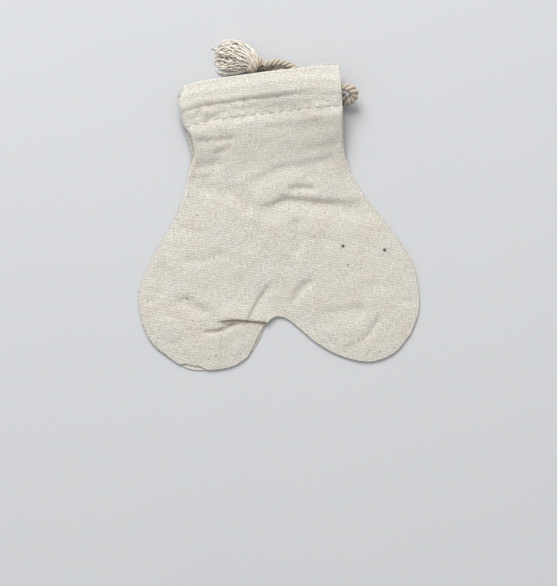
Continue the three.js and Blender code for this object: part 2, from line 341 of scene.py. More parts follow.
# %% Guides of the fan, mm, from the top round to the bottom
GUIDES = [
    [(0.1, 55.9, 3.2), (-0.5, 58.5, 3.7), (-1.5, 60.8, 3.4), (-3.6, 63.0, 2.7), (-6.3, 64.3, 1.9),
     (-9.0, 64.6, 1.2), (-11.6, 64.2, 0.7)],
    [(-0.7, 56.0, 3.6), (-1.5, 58.1, 4.1), (-3.1, 60.3, 3.9), (-5.4, 62.1, 3.2), (-8.2, 63.3, 2.3),
     (-11.1, 63.8, 1.4), (-13.6, 63.4, 0.7)],
    [(-1.6, 55.9, 3.9), (-3.1, 58.0, 4.3), (-5.2, 59.9, 4.0), (-8.0, 61.5, 3.3), (-11.1, 62.3, 2.3),
     (-13.7, 62.4, 1.5), (-15.2, 62.0, 0.9)],
    [(-2.0, 55.6, 3.8), (-4.4, 57.5, 4.2), (-7.0, 59.3, 3.8), (-10.0, 60.5, 3.0), (-12.8, 60.9, 2.2),
     (-15.2, 60.9, 1.5)],
    [(-2.2, 55.2, 3.4), (-5.0, 56.7, 3.7), (-8.2, 58.3, 3.3), (-12.0, 59.3, 2.5), (-14.4, 59.8, 1.9),
     (-16.2, 60.2, 1.5)],
    [(-2.3, 54.9, 2.9), (-5.2, 55.9, 3.1), (-8.8, 57.0, 2.8), (-12.2, 57.8, 2.1), (-14.5, 58.3, 1.6),
     (-16.0, 58.9, 1.3)],
    [(-2.3, 54.5, 2.3), (-5.4, 55.0, 2.5), (-9.4, 55.3, 2.2), (-12.8, 55.9, 1.6), (-14.9, 57.1, 1.2),
     (-15.8, 58.7, 1.0)],
    [(-2.1, 54.1, 1.8), (-5.4, 54.1, 1.9), (-9.6, 54.1, 1.6), (-12.9, 54.6, 1.1), (-14.9, 56.0, 0.8),
     (-15.7, 58.0, 0.8)],
]
YARNS = 52
YARN = 0.235         # radius
YARN_STEPS = 60
WANDER = 0.58
COMBED_GROOVE_SHADE = 0.3  # the combed yarns' grooves keep only a faint painted shade
LOWEST_YARN = [(-2.2, 53.7, 1.6), (-4.6, 53.3, 1.3), (-7.0, 52.8, 0.9), (-9.6, 52.6, 0.6),
               (-12.2, 52.7, 0.5), (-14.1, 53.4, 0.4), (-15.1, 54.9, 0.4)]
guides = [along(spline(guide), np.linspace(0, 1, 26)) for guide in GUIDES]


def wander(count, size, rng):
    """A slow random drift that starts at nothing, with a small crimp on it."""
    reach = np.linspace(0, 1, count)[:, None]
    ways = rng.normal(size=(5, 3))
    drifts = [np.sin(math.pi * (k + 1) * reach + rng.uniform(0, 3)) * way / (k + 1) ** 0.8
              for k, way in enumerate(ways)]
    crimp = np.sin(math.pi * rng.uniform(7, 12) * reach + rng.uniform(0, 6)) * rng.normal(size=3) * 0.5
    return size * reach ** 0.6 * (sum(drifts) + crimp)


# %% Yarns of the tassel
chance = np.random.default_rng(11)
tassel_mesh = Mesh()
for number in range(YARNS):
    place = number / (YARNS - 1) * (len(guides) - 1) * 0.999
    lower = int(place)
    blend = place - lower
    yarn = (1 - blend) * guides[lower] + blend * guides[lower + 1]
    yarn = yarn + wander(len(yarn), WANDER, chance) * np.array([1, 1, 0.7])
    yarn = yarn + chance.uniform(-0.3, 0.3, 3) * np.array([1, 1, 2.2])
    yarn[:, 2] = np.maximum(yarn[:, 2] - np.linspace(0, chance.uniform(0, 2.2), len(yarn)), YARN + 0.05)
    keep = chance.uniform(0.74, 1.0)
    yarn = along(yarn, np.linspace(0, keep, YARN_STEPS))
    thick = YARN * chance.uniform(0.8, 1.15) * (1 + 0.08 * np.sin(np.linspace(0, 40, YARN_STEPS) + number))
    tassel_mesh.tube(yarn, thick, 9, ribs=3, rib_depth=0.3, rib_turns=2.6, swing=number * 0.21)
    tassel_mesh.shades_and_soil[-1] *= COMBED_GROOVE_SHADE
for shift in (0.0, 0.45):
    yarn = along(spline(LOWEST_YARN), np.linspace(0, 1 - shift / 3, 40)) + [0, shift, shift / 2]
    tassel_mesh.tube(yarn, YARN * 0.95, 8, ribs=3, rib_depth=0.22, rib_turns=2.6, swing=shift)
tassel = tassel_mesh.piece("tassel_yarns")
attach(tassel, "root")
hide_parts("tassel")

# %% The cord's facts
free_ends = (("cord_end_front", front_end_path, FRONT_EXIT), ("cord_end_back", back_end_path, BACK_EXIT))
for name, path, end in free_ends:
    [c * MM for c in end]
    (path * MM).tolist()

# %% [markdown]
# ## Cloth: outline
# Each panel was cut flat, so it is built flat first and given its height afterwards. Four curves bound
# it, and a Coons patch fills them: the rows and columns then follow the seams, and the mesh has no odd
# triangles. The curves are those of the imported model.

# %% Seams and mouth, mm
LEFT_CORNER = (-40.6, -44.8)
RIGHT_CORNER = (45.2, -44.2)
MOUTH_LEFT = (-27.2, 49.3)
MOUTH_RIGHT = (28.3, 51.7)
bottom = spline([LEFT_CORNER, (-34.0, -49.5), (-26.8, -50.6), (-18.4, -50.0), (-12.6, -47.0), (-8.2, -41.5),
                 (-4.6, -35.6), (-1.6, -33.9), (2.0, -34.8), (6.2, -38.6), (12.0, -44.4), (20.0, -49.6),
                 (30.3, -52.6), (39.0, -50.2), RIGHT_CORNER])
left = spline([LEFT_CORNER, (-46.0, -39.0), (-48.8, -31.0), (-49.25, -22.6), (-46.2, -14.4), (-41.2, -6.3),
               (-35.6, 1.7), (-31.0, 9.8), (-28.1, 18.0), (-26.4, 26.0), (-27.3, 33.0), (-28.6, 38.5),
               (-29.0, 44.0), MOUTH_LEFT])
right = spline([RIGHT_CORNER, (48.7, -36.6), (49.4, -28.0), (48.3, -20.0), (45.3, -13.2), (40.3, -5.0),
                (34.4, 4.0), (29.7, 13.0), (27.5, 21.7), (27.6, 30.0), (28.2, 38.6), MOUTH_RIGHT])
top = spline([MOUTH_LEFT, (-20.0, 50.6), (-5.0, 51.4), (9.0, 51.8), (20.0, 52.0), MOUTH_RIGHT])


# %% Filling four curves
def coons(below, above, start, end, u, v):
    """Fills four curves. Returns a row of points for each v and a column for each u."""
    u, v = np.asarray(u)[None, :, None], np.asarray(v)[:, None, None]
    b, t = along(below, u[0, :, 0])[None], along(above, u[0, :, 0])[None]
    s, e = along(start, v[:, 0, 0])[:, None], along(end, v[:, 0, 0])[:, None]
    corners = ((1 - u) * (1 - v) * below[0] + u * (1 - v) * below[-1]
               + (1 - u) * v * above[0] + u * v * above[-1])
    return (1 - v) * b + v * t + (1 - u) * s + u * e - corners


def smooth(value, low, high):
    t = np.clip((value - low) / (high - low), 0, 1)
    return t * t * (3 - 2 * t)


# %% [markdown]
# ## Cloth: heights of the layers
# Depth is measured down from the mouth. The hem is the thick part: the panel, its turned-in flap and a
# cord, on each side. The two cords lie side by side and not on each other, and the front goes over both
# in one flat roll. It sinks to the row of stitches, swells a little below them, and then lies nearly
# flat, because the bag is empty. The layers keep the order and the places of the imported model. The loose
# ends of the cord pass behind the hem at the right and lift it.

# %% Heights in millimetres
CLOTH = 0.4
CLEAR = 0.3
FOLD = 0.35
FRONT_CORD, BACK_CORD, STITCHES, HEM_END = 6.2, 10.8, 14.2, 16.2   # depths
BAG_LENGTH = 104
HEM_SETBACK = 3.1    # how much shorter the back hem is at its open end
TURN_ROOM = 4.5      # room that the flaps leave for the cord's turn at the closed end
LAYER = CLOTH + CLEAR
FLOOR = CLOTH / 2
FLAP_GAP = CLOTH + 0.5
HIGH_FLAP = FLOOR + CORD + 2 * CLEAR + CLOTH
CREST = HIGH_FLAP + FLAP_GAP + LAYER
STITCHED = FLOOR + 2.4
EDGE_LIFT = 1.2


def section(*stops):
    """Crests and hollows at given depths, joined smoothly."""
    def height(depth):
        rise = [(high - low) * smooth(depth, a, b) for (a, low), (b, high) in zip(stops, stops[1:])]
        return stops[0][1] + sum(rise)
    return height


# %% Sections through the hem
back_leaf = section((FOLD, FLOOR + EDGE_LIFT), (FRONT_CORD - 0.5, FLOOR), (BACK_CORD + 0.5, FLOOR),
                    (STITCHES, STITCHED), (34, FLOOR))
back_flap = section((FOLD, FLOOR + LAYER + EDGE_LIFT), (FRONT_CORD - 0.5, FLOOR + LAYER),
                    (FRONT_CORD + 0.5, FLOOR + LAYER), (BACK_CORD - 0.5, HIGH_FLAP),
                    (BACK_CORD + 0.5, HIGH_FLAP), (STITCHES, STITCHED + LAYER))
front_hem = section((FOLD, FLOOR + 2 * LAYER + FLAP_GAP + EDGE_LIFT + 0.6), (4.4, CREST),
                    (7.9, CREST + 0.4), (9.4, CREST - 0.1), (BACK_CORD + 2.0, CREST - 0.5),
                    (STITCHES, STITCHED + 2 * LAYER + FLAP_GAP))
fullness = section((STITCHES, FLAP_GAP + LAYER), (18, 2.3), (40, 1.8), (80, 0.7))


# %% Depth below the mouth, and the lift over the loose ends
LOOSE_ENDS = np.array([(27.0, 40.0), (10.5, 52.2)])


def mouth_at(x):
    return np.interp(x, top[:, 0], top[:, 1])


def depth_at(x, y):
    return mouth_at(x) - y + FOLD


def hem_depth(x, depth):
    """Depth, corrected for the cords' drift towards the open end."""
    drift = 1.4 * smooth(x, 8, 28) * np.sin(math.pi * np.clip(depth / STITCHES, 0, 1))
    return depth - drift


def lifted(x, y):
    """How far the loose ends of the cord lift the cloth."""
    start, run = LOOSE_ENDS[0], LOOSE_ENDS[1] - LOOSE_ENDS[0]
    t = np.clip(((x - start[0]) * run[0] + (y - start[1]) * run[1]) / (run @ run), 0, 1)
    away = np.hypot(x - start[0] - t * run[0], y - start[1] - t * run[1])
    reach = 20 + 10 * smooth(depth_at(x, y), STITCHES, 34)
    return (CORD + CLEAR) * (1 - smooth(away, 4, reach))


print("front of the hem stands", round(CREST + CLOTH / 2, 1), "mm high")

# %% [markdown]
# ## Cloth: creases
# The bag has been folded and handled, and its creases are what the eye knows it by. Each is given as a
# short line with a depth, and with one width uphill and another downhill: pressed creases fall steeply on
# one side and come up slowly on the other. A cloth simulation crumples at random and would not put them
# here. Small random waves are added for the unevenness between the creases.

# %% Creases: depth, width above the line, width below it, points; all in mm
CREASE_STEPS = 6
CREASES = {
    "header": (0.3, 0.9, 1.3, [(-31.5, 40.2), (-27.6, 41.1), (-23.6, 41.9), (-19.1, 42.6), (-13.7, 42.8),
               (-8.4, 43.0), (-0.4, 43.3), (6.7, 43.5), (15.6, 44.0), (20.9, 43.9), (27.7, 42.7),
               (33.5, 41.6)]),
    "waist": (1.25, 1.5, 4.5, [(-6.4, 4.7), (-2.9, 4.7), (0.7, 5.2), (3.4, 6.2), (6.1, 6.7), (10.5, 6.0),
              (14.9, 5.1), (19.2, 4.3), (23.6, 3.6), (28.0, 2.8), (31.5, 3.0), (33.8, 3.4), (39.0, 4.0)]),
    "waist_left": (0.6, 3.4, 2.4, [(-27.8, 13.2), (-22.6, 12.8), (-17.3, 11.6), (-12.2, 9.4), (-8.1, 6.0),
                   (-4, 4.9)]),
    "above_waist": (0.8, 1.3, 2, [(5.6, 10.3), (9.1, 10.6), (12.7, 10.4), (17.0, 9.6)]),
    "over_above_waist": (0.3, 1.4, 1.8, [(11.2, 13.3), (14.8, 14.4), (18.8, 14.6)]),
    "long_slant": (0.5, 1.4, 3, [(-10.2, 12.4), (-6.6, 13.5), (-2.9, 14.9), (0.8, 16.4), (4.5, 17.8),
                   (8.9, 18.3), (13.4, 18.4), (17.8, 19.0), (22.3, 19.8), (26.8, 20.4)]),
    "right_neck": (0.27, 1.2, 1.8, [(12.9, 23.4), (19.2, 24.2), (25.4, 24.9), (28, 25)]),
    "right_neck_high": (0.2, 1.2, 2, [(9.0, 29.8), (16.0, 30.6), (27.6, 31.4)]),
    "left_neck": (0.52, 0.9, 1.6, [(-26.6, 29.9), (-21.1, 30.0), (-16.6, 29.8), (-12.2, 29.8),
                  (-8.6, 30.5)]),
    "left_neck_low": (0.42, 0.9, 1.7, [(-19.5, 24.7), (-15.2, 26.1), (-11.0, 27.5)]),
    "left_neck_hollow": (0.6, 1.9, 1.9, [(-26.4, 21.5), (-22.7, 20.9), (-19.2, 21.3), (-15.0, 23.0)]),
    "left_neck_foot": (0.28, 0.9, 1.5, [(-27.6, 17.4), (-22.2, 17.1), (-18.5, 17.9)]),
    "under_hem": (0.26, 1.4, 2, [(-3, 31.8), (5.9, 32.4), (14.7, 32.6), (20.0, 32.8), (27.4, 32.6)]),
    "middle": (0.8, 1.8, 1.8, [(8.8, 1.2), (8.6, -4.1), (8.5, -8.6), (7.5, -13.4)]),
    "left_shoulder": (0.34, 1.8, 1.6, [(-34.1, -12.8), (-30.0, -11.8), (-24.8, -12.3), (-20.2, -10.5),
                      (-15.9, -12.2)]),
    "left_shoulder_high": (0.26, 1.6, 2.2, [(-33.4, 0.4), (-28.2, -0.9), (-23.7, -3.5)]),
    "left_side": (0.75, 1.6, 1.6, [(-39.6, -12.0), (-40.5, -17.6), (-41.6, -24.0)]),
    "left_lobe": (0.8, 1.5, 2.1, [(-36.8, -26.8), (-32.1, -25.6), (-30.1, -27.3), (-27.1, -29.4),
                  (-25.0, -32.2)]),
    "lobe_tuck": (0.85, 0.45, 1.1, [(-27.9, -37.0), (-22.5, -37.1), (-19.8, -36.5), (-17.1, -35.4),
                  (-13.4, -34.7)]),
    "tuck_finger": (0.4, 0.45, 0.5, [(-20.9, -33.7), (-20.2, -34.7), (-18.2, -35.4), (-16.1, -34.7)]),
    "crotch_slant": (1, 0.6, 1.9, [(-12.2, -34.9), (-10.7, -33.0), (-8.6, -29.7), (-6.1, -26.3),
                     (-2.6, -22.2)]),
    "crotch_right": (0.85, 1.3, 1.7, [(4.2, -30.5), (6.3, -26.5), (8.8, -24.1), (13.0, -21.8)]),
    "right_lobe": (0.85, 2.2, 2.8, [(11.0, -37.2), (17.5, -36.1), (22.0, -35.3), (26.4, -34.6),
                   (31.5, -33.4)]),
    "right_lobe_low": (0.32, 0.9, 1.6, [(19.9, -47.3), (24.6, -45.9), (28.2, -44.7), (30.6, -42.4),
                       (33.6, -38.7), (36.0, -35.0)]),
    "right_lobe_high": (0.36, 1.2, 1.6, [(31.0, -26.0), (36.0, -26.7), (40.9, -28.0)]),
    "right_edge": (0.45, 0.7, 1.2, [(42.4, -32.5), (49.0, -32.9)]),
    "left_edge": (0.4, 0.7, 1.2, [(-49.0, -23.9), (-44.0, -24.6)]),
    "left_edge_low": (0.36, 0.8, 1.2, [(-46.0, -37.0), (-40.0, -34.4)]),
    "crotch_edge": (0.5, 1.8, 1.8, [(5.4, -36.2), (8.5, -37.6), (12.4, -39.8)]),
    "facet_a": (0.22, 1.5, 2.2, [(10.5, -7.3), (16.4, -7.7), (23.4, -10.2)]),
    "facet_b": (0.22, 1.6, 1.6, [(27.7, -7.6), (33.7, -12.5), (37.2, -19.1)]),
    "facet_c": (0.2, 2.2, 2.2, [(-9.3, -4.2), (-4.3, -11.9), (-1.9, -18.4)]),
}
print(len(CREASES), "creases, the deepest", max(crease[0] for crease in CREASES.values()), "mm")

# %% Painted shade and dirt in the sharpest creases: name, strength, width in mm
SOILED_AND_SHADED = [("lobe_tuck", 1.0, 0.34), ("tuck_finger", 0.5, 0.34), ("crotch_slant", 0.5, 0.4),
          ("waist", 0.22, 0.7), ("header", 0.16, 0.7), ("crotch_right", 0.25, 0.6),
          ("right_lobe_low", 0.2, 0.5), ("above_waist", 0.15, 0.7)]


# %% Pressing the creases in
def nearest_on(line, x, y):
    """Signed distance of points from a line, positive on its upper side, and the share along it."""
    a, b = line[:-1], line[1:]
    run = b - a
    size = (run ** 2).sum(1)
    t = np.clip(((x[:, None] - a[:, 0]) * run[:, 0] + (y[:, None] - a[:, 1]) * run[:, 1]) / size, 0, 1)
    dx = x[:, None] - a[:, 0] - t * run[:, 0]
    dy = y[:, None] - a[:, 1] - t * run[:, 1]
    away = dx ** 2 + dy ** 2
    pick = np.argmin(away, axis=1)
    rows = np.arange(len(x))
    side = np.sign(run[pick, 0] * dy[rows, pick] - run[pick, 1] * dx[rows, pick])
    measured = distances(line)
    share = (measured[pick] + t[rows, pick] * np.sqrt(size[pick])) / measured[-1]
    return side * np.sqrt(away[rows, pick]), share


def creased(x, y):
    """Height that the creases take away from the front, for flat arrays of places."""
    total = np.zeros_like(x)
    for depth, above, below, points in CREASES.values():
        line = spline(points, CREASE_STEPS)
        margin = 3 * max(above, below)
        near = np.flatnonzero((x > line[:, 0].min() - margin) & (x < line[:, 0].max() + margin)
                              & (y > line[:, 1].min() - margin) & (y < line[:, 1].max() + margin))
        away, share = nearest_on(line, x[near], y[near])
        width = np.where(away > 0, above, below)
        ends = smooth(share, 0, 0.22) * (1 - smooth(share, 0.8, 1))
        total[near] -= depth * np.exp(-(away / width) ** 2) * (0.12 + 0.88 * ends)
    return total


def crease_soil_and_shade(x, y):
    """How brown each place is, 0 to 1: painted shade in the sharpest creases, with the dirt that handling
    leaves there.
    """
    total = np.zeros_like(x)
    for name, strength, width in SOILED_AND_SHADED:
        away, share = nearest_on(spline(CREASES[name][-1], CREASE_STEPS), x, y)
        ends = smooth(share, 0, 0.15) * (1 - smooth(share, 0.75, 1))
        total = np.maximum(total, strength * np.exp(-((away - 0.25) / width) ** 2) * ends)
    return total


# %% Unevenness between the creases
def waves(x, y, size, seed, count=26):
    """Random unevenness: plane waves of about this length, with seeded directions."""
    rng = np.random.default_rng(seed)
    angle = rng.uniform(0, 2 * math.pi, count)
    number = 2 * math.pi / (size * rng.uniform(0.7, 1.5, count))
    start = rng.uniform(0, 2 * math.pi, count)
    parts = [np.cos(k * (np.cos(a) * x + np.sin(a) * y) + s) for k, a, s in zip(number, angle, start)]
    return sum(parts) * math.sqrt(2 / count)


def uneven(x, y):
    """Broad ridges, smaller dents and a fine roughness."""
    ridges = 1 - np.abs(waves(x, y, 15, 3))
    return 0.07 * ridges + 0.045 * waves(x, y, 7, 4) + 0.02 * waves(x, y, 3.2, 5)


# %% [markdown]
# ## Cloth: edges
# The panels were sewn face to face and turned, so each seam is a soft rounded edge, and the two panels
# meet half way round it. The front rolls down to the seam and the back rolls up to it. At the closed end
# of the hem the roll is bigger, because the cloth goes round the turn of the cord. The open end isn't
# sewn, and has no roll.

# %% Roll of the panels at their edges
SEAM_ROLL = 0.8
HEM_ROLL = 1.7
SEAM_RISE, HEM_RISE = 0.15, 1.6      # how far the back panel comes up to its seams
SEAM_REACH = 9                       # how far from a seam the front is still held down
SEAM_GAP = CLOTH + 0.04
print("seams roll over", SEAM_ROLL, "mm, the closed end of the hem over", HEM_ROLL, "mm")


def nearest_tree(lines):
    points = np.vstack([stretch(line, 0, 1, 0.12) for line in lines])
    tree = KDTree(len(points))
    for number, (px, py) in enumerate(points):
        tree.insert((px, py, 0), number)
    tree.balance()
    return tree


def edge_distance(tree, x, y):
    return np.array([tree.find((px, py, 0))[2] for px, py in zip(x, y)])


def closed_end(x, depth):
    """1 at the closed end of the hem, 0 elsewhere."""
    return (1 - smooth(depth, STITCHES, 24)) * (1 - smooth(x, -22, -10))


def open_end(x, depth):
    return (1 - smooth(depth, STITCHES - 0.5, STITCHES + 4)) * smooth(x, 10, 22)


def quarter_round(away, reach):
    return np.sqrt(np.clip(1 - (1 - np.clip(away / reach, 0, 1)) ** 2, 0, 1))


# %% Height of the back panel
def back_height(x, y, away):
    """Height of the middle of the cloth. Away is the distance from the seam."""
    depth = depth_at(x, y)
    level = back_leaf(hem_depth(x, depth)) + lifted(x, y)
    hem = closed_end(x, depth)
    reach = SEAM_ROLL + (HEM_ROLL - SEAM_ROLL) * hem
    rise = (SEAM_RISE + HEM_RISE * hem * (1 - smooth(depth, 9, STITCHES))) * (1 - open_end(x, depth))
    body = smooth(depth, STITCHES + 2, 30)
    lump = 0.5 * body * np.clip(waves(x, y, 21, 8) - 0.3, 0, 2) * (1 - np.exp(-(away / 6) ** 2))
    return level + rise * (1 - quarter_round(away, reach)) + lump


# %% Height of the front panel
STITCH = 3.3
STITCH_ROW = (-26.6, 27.2)
FIRST_STITCH = STITCH / 2 - STITCH_ROW[0]


def puckered(x, depth):
    """The row of stitches pulls a small groove with a dimple at each stitch."""
    groove = np.exp(-((depth - STITCHES) / 0.5) ** 2)
    row = 0.10 + 0.08 * np.cos(2 * math.pi * (x + FIRST_STITCH) / STITCH)
    gathered = np.exp(-((depth - 11.5) / 3.4) ** 2) * (1 - smooth(x, -9, 2))
    return (-groove * row - 0.12 * np.exp(-((depth - STITCHES) / 3) ** 2) * waves(x, depth, 5, 14)
            - 0.15 * gathered * waves(x, depth, 4, 15))


def front_height(x, y, away):
    """Height of the middle of the cloth, with every crease. It never sinks through the back."""
    depth = depth_at(x, y)
    seam_pull = smooth(depth, STITCHES, 46)
    inward = 1 - np.exp(-away / SEAM_REACH)
    flat_back = back_leaf(depth) + lifted(x, y)
    body = flat_back + SEAM_GAP + (LAYER - SEAM_GAP + fullness(depth)) * (1 - seam_pull * (1 - inward))
    hem = front_hem(hem_depth(x, depth)) + lifted(x, y)
    level = np.where(depth < STITCHES, hem, body) + puckered(x, depth)
    soft = smooth(depth, 4, 17)
    from_edge = 1 - 0.8 * np.exp(-(away / 1.3) ** 2)
    level = level + creased(x, y) * from_edge + uneven(x, y) * (0.35 + 0.65 * soft) * from_edge
    back = back_height(x, y, away)
    level = np.maximum(level, back + SEAM_GAP + 0.25 * inward)
    closed = closed_end(x, depth)
    reach = SEAM_ROLL + (HEM_ROLL - SEAM_ROLL) * closed
    seam = back + SEAM_GAP
    rolled = seam + (level - seam) * quarter_round(away, reach)
    return rolled + (level - rolled) * open_end(x, depth)


# %% [markdown]
# ## Cloth: the tuck between the lobes
# Between the lobes the front is pleated: the part over the crotch lies over the left lobe, and the lobe
# passes under it. A height alone can't overlap itself, so the front is built as two patches that share
# one line, the lip of the pleat. Rows are put in between that go round the lip, back up underneath it,
# round again and down into the lobe. The pleat opens from nothing at its tip to a few millimetres at the
# crotch.

# %% Lip of the pleat, mm
TUCK_START_X = -24.0
TUCK_REACH = 3.0
TUCK_TURN = 0.23
PLAIN_STEP = 1.2
LIP_FALL, CROTCH_FALL = 5.0, 3.6   # how far from the lip and the crotch the raised layer comes down
BACK_SHOWS = 1.3     # beside the neck
FOOT_SHOWS = 1.6     # below the left lobe
INNER_SHOWS = 0.9    # beside the left lobe's inner edge

side_share = share_of(left, (-48.8, -31.0))
crotch_share = share_of(bottom, (-4.7, -35.3))
toe_share = share_of(bottom, (-12.6, -47.0))
crotch = along(bottom, [crotch_share])[0]
lip = spline([along(left, [side_share])[0], (-40.0, -31.8), (-32.0, -33.0), (-24.0, -33.5), (-20.5, -33.4),
              (-15.1, -33.6), (-10.8, -34.4), crotch])
seam_right_of_crotch = stretch(bottom, crotch_share, 1, 0.2)
main_bottom = np.vstack([lip, seam_right_of_crotch[1:]])


def shown_back(line):
    """Moves an edge inwards where the back panel shows past it."""
    moved = line.copy()
    moved[:, 0] += BACK_SHOWS * smooth(line[:, 1], 19, 26) * (1 - smooth(line[:, 1], 31, 37))
    return moved


# %% Rows and columns, closest where the cloth rolls at its edges and in the hem
EDGE_STEPS = (0, 0.0012, 0.003, 0.0055, 0.009)
FOOT_STEPS = (0, 0.0015, 0.0035, 0.0065, 0.010)
LOBE_STEPS = (0, 0.008, 0.02, 0.036, 0.055)
HEM_START = 0.815
main_left = shown_back(stretch(left, side_share, 1, 0.2))
lip_share = distances(lip)[-1] / distances(main_bottom)[-1]
u_lip = np.linspace(0, lip_share, 84)
u_lip = np.concatenate([EDGE_STEPS, u_lip[u_lip > 0.012]])
u_rest = lip_share + (1 - lip_share) * np.linspace(0, 1, 124)[1:]
u_rest = np.concatenate([u_rest[u_rest < 0.988], 1 - np.array(EDGE_STEPS[::-1])])
u_main = np.concatenate([u_lip, u_rest])
lip_columns = len(u_lip)
v_main = np.concatenate([FOOT_STEPS, np.linspace(0.015, HEM_START, 128)[:-1],
                         np.linspace(HEM_START, 1, 52)])
front_sides = (main_bottom, top, main_left, right)
main_flat = coons(*front_sides, u_main, v_main)
print("main patch:", main_flat.shape[:2], "with", lip_columns, "columns on the lip")

# %% Seam of the left lobe, where the back panel shows past it
lobe_left = stretch(left, 0, side_share - PLAIN_STEP / distances(left)[-1], 0.2)
lobe_bottom = stretch(bottom, 0, toe_share, 0.2)
lobe_right = stretch(bottom, toe_share, crotch_share, 0.2)


def crescent(line):
    """Moves the lobe's foot up where the back panel shows below it."""
    moved = line.copy()
    moved[:, 1] += FOOT_SHOWS * smooth(line[:, 0], -37.5, -34) * (1 - smooth(line[:, 0], -31, -26.5))
    return moved


lobe_bottom = crescent(lobe_bottom)
inner = distances(lobe_right) / distances(lobe_right)[-1]
lobe_right[:, 0] -= INNER_SHOWS * np.sin(math.pi * inner)

# %% Heights of the main patch
seam_tree = nearest_tree([main_left, lobe_left, lobe_bottom, lobe_right, seam_right_of_crotch, right])


def raised_over_tuck(x, y):
    """The upper layer rides over the layers under the lip."""
    span = crotch[0] - TUCK_START_X
    share = np.clip((x - TUCK_START_X) / span, 0, 1)
    lip_y = np.interp(x, lip[:, 0], lip[:, 1])
    above = np.where(x < crotch[0], (y - lip_y) / LIP_FALL,
                     np.hypot(x - crotch[0], y - crotch[1]) / CROTCH_FALL)
    return 4 * TUCK_TURN * smooth(share, 0, 0.35) * np.exp(-above ** 2)


def with_height(flat, height, tree):
    x, y = flat[..., 0].ravel(), flat[..., 1].ravel()
    z = height(x, y, edge_distance(tree, x, y))
    return np.stack([x, y, z], -1).reshape(*flat.shape[:2], 3)


main = with_height(main_flat, front_height, seam_tree)
main[..., 2] += raised_over_tuck(main[..., 0], main[..., 1])
print("main patch stands", round(main[..., 2].max(), 2), "mm high")

# %% Left lobe and the pleat's own rows
lip_points = main[0, :lip_columns]
opened = np.clip((lip_points[:, 0] - TUCK_START_X) / (crotch[0] - TUCK_START_X), 0, 1)
pleated = smooth(opened, 0, 0.25)[:, None]
overlap = TUCK_REACH * opened
down = np.zeros((lip_columns, 2))
down[:, 1] = -1
down[0] = along(left, [side_share - PLAIN_STEP / distances(left)[-1]])[0] - lip_points[0, :2]
down /= np.linalg.norm(down, axis=1)[:, None]

lobe_top = (lip_points[:, :2] + down * PLAIN_STEP * (1 - pleated)
            + pleated * np.stack([overlap * 0, overlap], -1))
lobe_right = np.vstack([lobe_right, lobe_top[-1:]])
u_lobe = u_lip / lip_share
v_lobe = np.concatenate([LOBE_STEPS, np.linspace(0.085, 1, 27)])
lobe_flat = coons(lobe_bottom, lobe_top, lobe_left, lobe_right, u_lobe, v_lobe)
lobe = with_height(lobe_flat, front_height, seam_tree)


def pleat_rows(steps=6):
    """Rows from the lip, round under it, up to the inner fold and round again."""
    turn = np.linspace(0, math.pi, steps + 1)
    reach = [(-TUCK_TURN * np.sin(a), 0, (1 - math.cos(a)) / 4) for a in turn[1:]]
    reach += [(0, b, 0.5) for b in np.linspace(0, 1, steps + 1)[1:]]
    reach += [(TUCK_TURN * np.sin(a), 1, (3 - math.cos(a)) / 4) for a in turn[1:-1]]
    rows = []
    for number, (round_off, back_up, drop) in enumerate(reach, 1):
        plain = down * PLAIN_STEP * number / (len(reach) + 1)
        folded = np.stack([overlap * 0, round_off + overlap * back_up], -1)
        flat = lip_points[:, :2] + plain * (1 - pleated) + folded * pleated
        z = lip_points[:, 2] + (lobe[-1, :, 2] - lip_points[:, 2]) * drop
        rows.append(np.column_stack([flat, z]))
    return rows


pleat = np.stack(pleat_rows()[::-1])
print("pleat opens to", round(float(overlap.max()), 1), "mm")

# %% [markdown]
# ## Cloth: turned hem
# The mouth isn't a cut edge. The panel goes over a small fold and down inside as a flap, as far as just
# below the stitches, and the cord lies between the panel and its flap. The hem can be seen into at its
# open end.

# %% Fold and flap
FOLD_STEPS = 6
mouth_width = MOUTH_RIGHT[0] - MOUTH_LEFT[0]
turn_share = TURN_ROOM / mouth_width
setback_share = HEM_SETBACK / mouth_width


def hem_inside(sides, leaf_top, columns_u, first_u, last_u, rise):
    """Rows over the fold and down the inside of a panel."""
    u = first_u + (last_u - first_u) * columns_u
    v = 1 - np.concatenate([[0], np.linspace(0.01, HEM_END / BAG_LENGTH, 18)])
    flat = coons(*sides, u, v)
    x, y = flat[..., 0], flat[..., 1]
    z = back_flap(hem_depth(x, depth_at(x, y))) + rise + lifted(x, y)
    flap = np.stack([x, y, z], -1)
    fold = []
    for angle in np.linspace(0, math.pi, FOLD_STEPS + 1)[1:-1]:
        row = leaf_top + (flap[0] - leaf_top) * (1 - math.cos(angle)) / 2
        row[:, 1] += FOLD * math.sin(angle)
        fold.append(row)
    return np.concatenate([np.stack(fold), flap])


front_inside = hem_inside(front_sides, main[-1], u_main, turn_share, 1, FLAP_GAP)
print("the flap goes", HEM_END, "mm down inside")

# %% Coordinates for the weave
def cloth_marks(rows):
    """Place on the flat, uncut cloth: across, and along as measured on the rows."""
    steps = np.linalg.norm(np.diff(rows[..., 1:], axis=0), axis=2)
    up = rows[0, :, 1] + np.vstack([np.zeros(rows.shape[1]), np.cumsum(steps, axis=0)])
    return np.stack([rows[..., 0], up], -1)


# %% Sewing the rows into sheets
def grid_faces(rows, columns, start=0):
    return [(start + i * columns + j, start + i * columns + j + 1,
             start + (i + 1) * columns + j + 1, start + (i + 1) * columns + j)
            for i in range(rows - 1) for j in range(columns - 1)]


